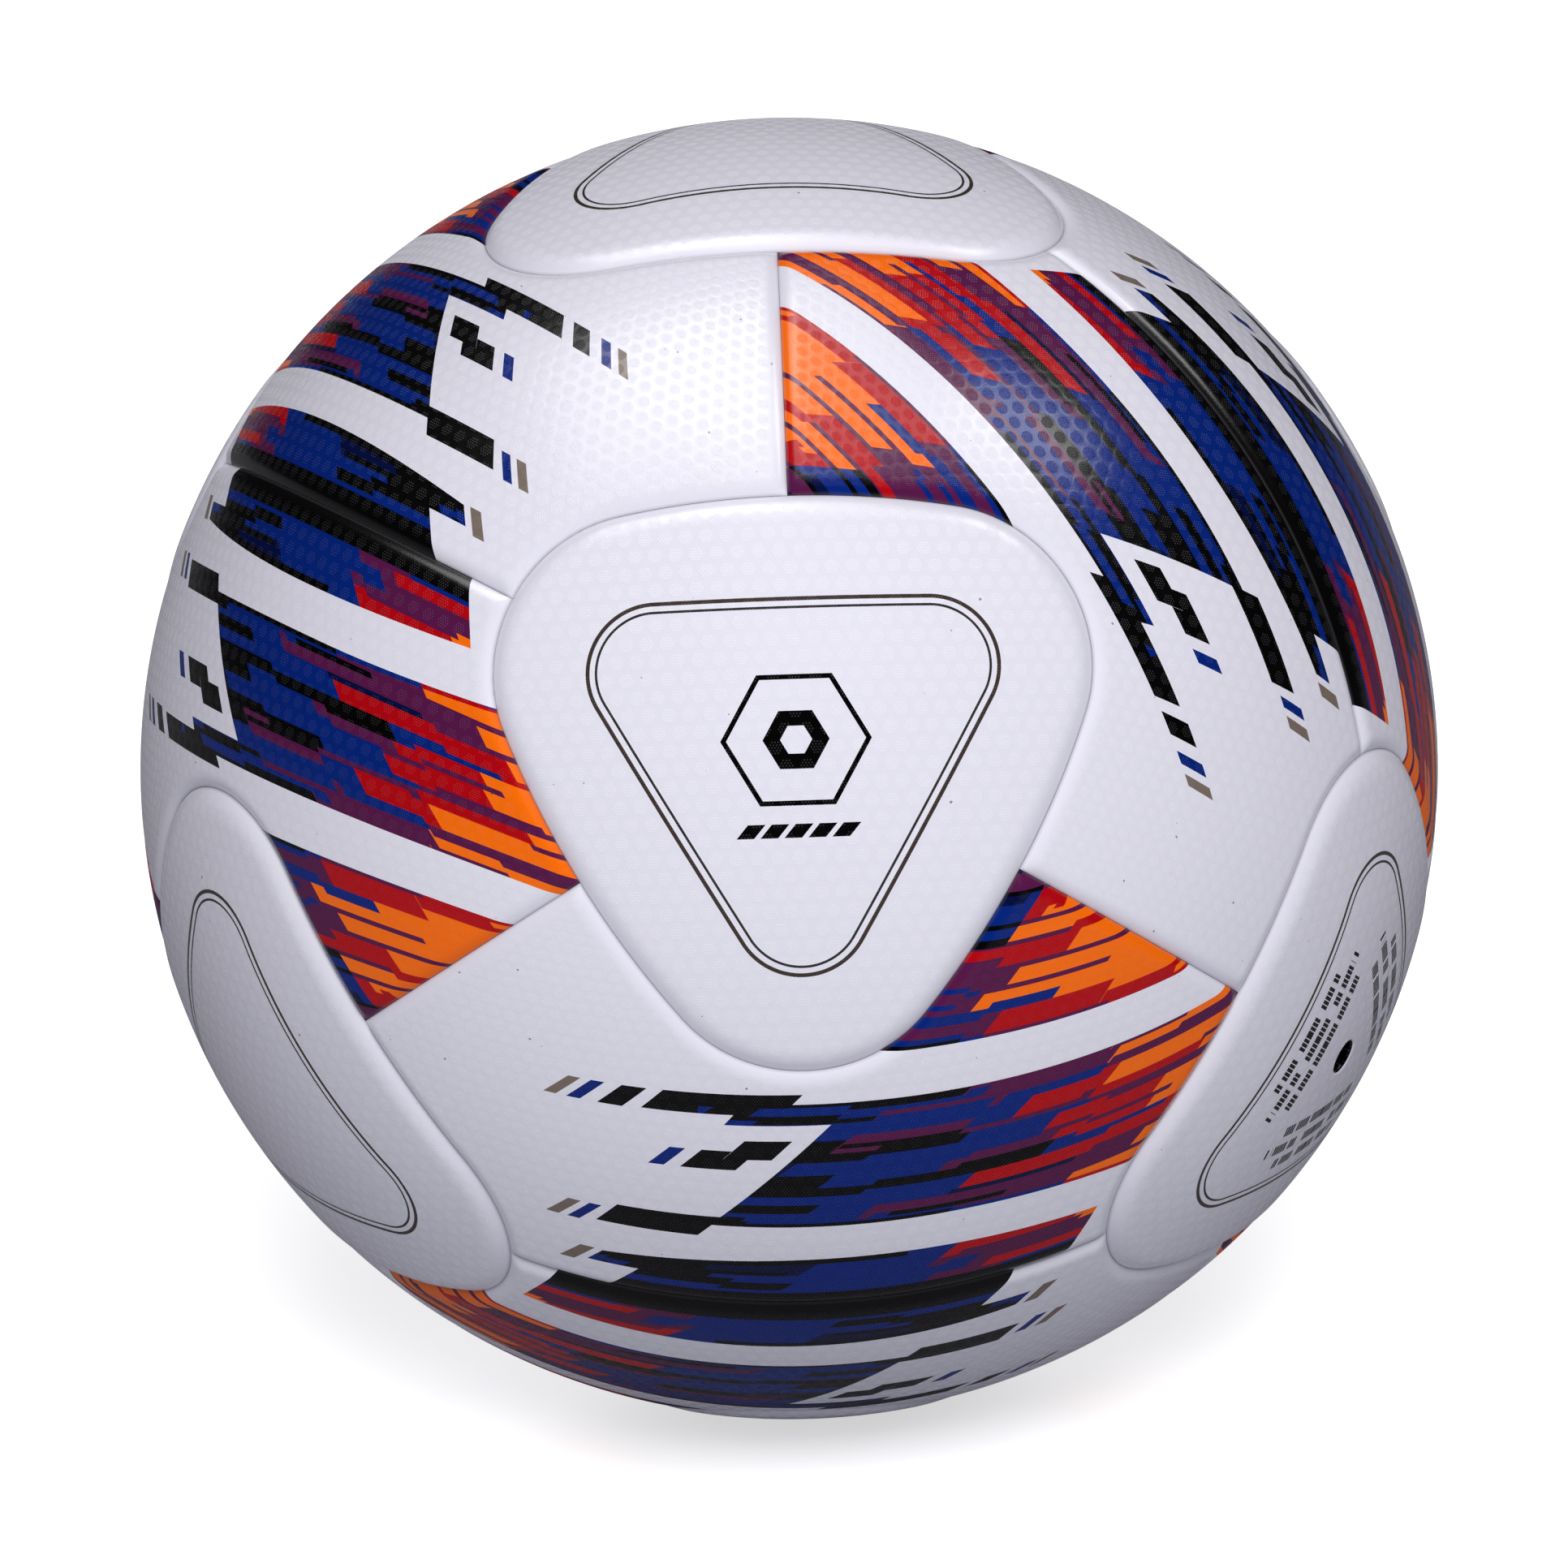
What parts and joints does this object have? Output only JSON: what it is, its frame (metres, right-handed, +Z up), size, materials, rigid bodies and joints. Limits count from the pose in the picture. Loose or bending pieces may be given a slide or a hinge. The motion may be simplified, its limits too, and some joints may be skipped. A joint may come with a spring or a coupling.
{
  "type": "soccer ball",
  "caption": "Round soccer ball of heat-bonded rounded triangular and wing-shaped panels with streaked print, over foam, a cloth carcass and an air bladder with a needle valve.",
  "frame": {"origin": "centre of the ball", "axes": "+Z up through the middle of the top triangular panel; -Y toward the front triangular panel, whose middle lies 19.5 degrees above the horizontal; +X to the right of a viewer who faces the front panel"},
  "size_m": [0.2196, 0.2196, 0.2196],
  "materials": {
    "triangle_skin": "satin white textured polyurethane",
    "printed_skin": "satin white textured polyurethane with streaked print",
    "foam": "closed-cell foam",
    "carcass": "woven cloth",
    "bladder": "matt rubber",
    "valve_rubber": "matt rubber",
    "valve_plug": "oiled rubber"
  },
  "bodies": {
    "root": {"bladder": "bladder", "carcass": "carcass", "triangle_back_foam": "foam", "triangle_back_skin": "triangle_skin", "triangle_bottom_foam": "foam", "triangle_bottom_skin": "triangle_skin", "triangle_front_foam": "foam", "triangle_front_skin": "triangle_skin", "triangle_lower_left_foam": "foam", "triangle_lower_left_skin": "triangle_skin", "triangle_lower_right_foam": "foam", "triangle_lower_right_skin": "triangle_skin", "triangle_top_foam": "foam", "triangle_top_skin": "triangle_skin", "triangle_upper_left_foam": "foam", "triangle_upper_left_skin": "triangle_skin", "triangle_upper_right_foam": "foam", "triangle_upper_right_skin": "triangle_skin", "valve_core": "valve_plug", "valve_housing": "valve_rubber", "valve_patch": "bladder", "wing_back_left_foam": "foam", "wing_back_left_skin": "printed_skin", "wing_back_under_foam": "foam", "wing_back_under_skin": "printed_skin", "wing_bottom_back_foam": "foam", "wing_bottom_back_skin": "printed_skin", "wing_bottom_front_foam": "foam", "wing_bottom_front_skin": "printed_skin", "wing_front_right_foam": "foam", "wing_front_right_skin": "printed_skin", "wing_front_under_foam": "foam", "wing_front_under_skin": "printed_skin", "wing_left_side_foam": "foam", "wing_left_side_skin": "printed_skin", "wing_left_under_foam": "foam", "wing_left_under_skin": "printed_skin", "wing_right_back_foam": "foam", "wing_right_back_skin": "printed_skin", "wing_right_side_foam": "foam", "wing_right_side_skin": "printed_skin", "wing_top_back_foam": "foam", "wing_top_back_skin": "printed_skin", "wing_top_left_foam": "foam", "wing_top_left_skin": "printed_skin"}
  },
  "joints": []
}
